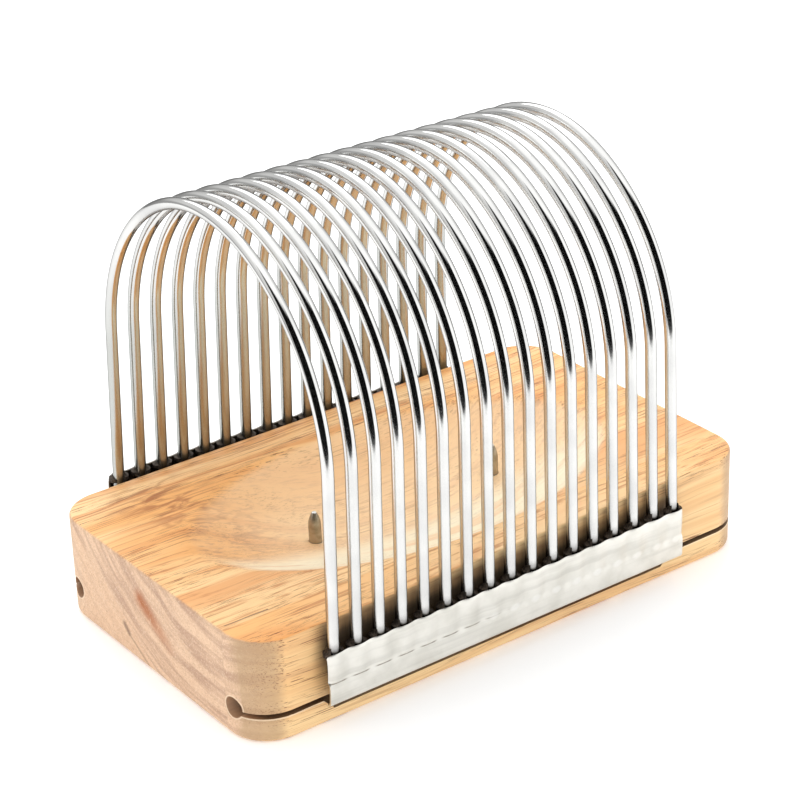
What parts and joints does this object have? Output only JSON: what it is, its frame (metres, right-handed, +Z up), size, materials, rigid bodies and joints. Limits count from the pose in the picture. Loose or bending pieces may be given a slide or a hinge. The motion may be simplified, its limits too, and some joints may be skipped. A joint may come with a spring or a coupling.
{
  "type": "slicing rack",
  "caption": "Hardwood board with an oval hollow and holding spikes, under a hinged, slide-off guard of evenly spaced steel hoops that guide a knife; reads as a toast rack.",
  "frame": {"origin": "middle of the board's underside", "axes": "+X along the board, across the hoops; +Y across the board, towards the back, where the guard opens; +Z up"},
  "size_m": [0.235, 0.1532, 0.1796],
  "materials": {
    "wood": "oiled rubberwood, fine grained, satin",
    "hoop_steel": "polished stainless steel wire",
    "rail_steel": "satin stainless steel sheet",
    "spike_steel": "dull turned steel",
    "rod_steel": "drawn steel rod"
  },
  "bodies": {
    "base": {"board": "wood", "spike_left": "spike_steel", "spike_right": "spike_steel"},
    "hinge": {"hinge_rod": "rod_steel"},
    "guard": {"front_rail": "rail_steel", "back_rail": "rail_steel", "hoop_01": "hoop_steel", "hoop_02": "hoop_steel", "hoop_03": "hoop_steel", "hoop_04": "hoop_steel", "hoop_05": "hoop_steel", "hoop_06": "hoop_steel", "hoop_07": "hoop_steel", "hoop_08": "hoop_steel", "hoop_09": "hoop_steel", "hoop_10": "hoop_steel", "hoop_11": "hoop_steel", "hoop_12": "hoop_steel", "hoop_13": "hoop_steel", "hoop_14": "hoop_steel", "hoop_15": "hoop_steel", "hoop_16": "hoop_steel", "hoop_17": "hoop_steel"}
  },
  "joints": [
    {"name": "guard_slide", "type": "slide", "parent": "base", "child": "hinge", "axis": [1, 0, 0], "range_m": [-0.2, 0.21]},
    {"name": "guard_swing", "type": "hinge", "parent": "hinge", "child": "guard", "pos_m": [0, -0.054, 0.0125], "axis": [1, 0, 0], "range_deg": [-1.5, 18]}
  ]
}
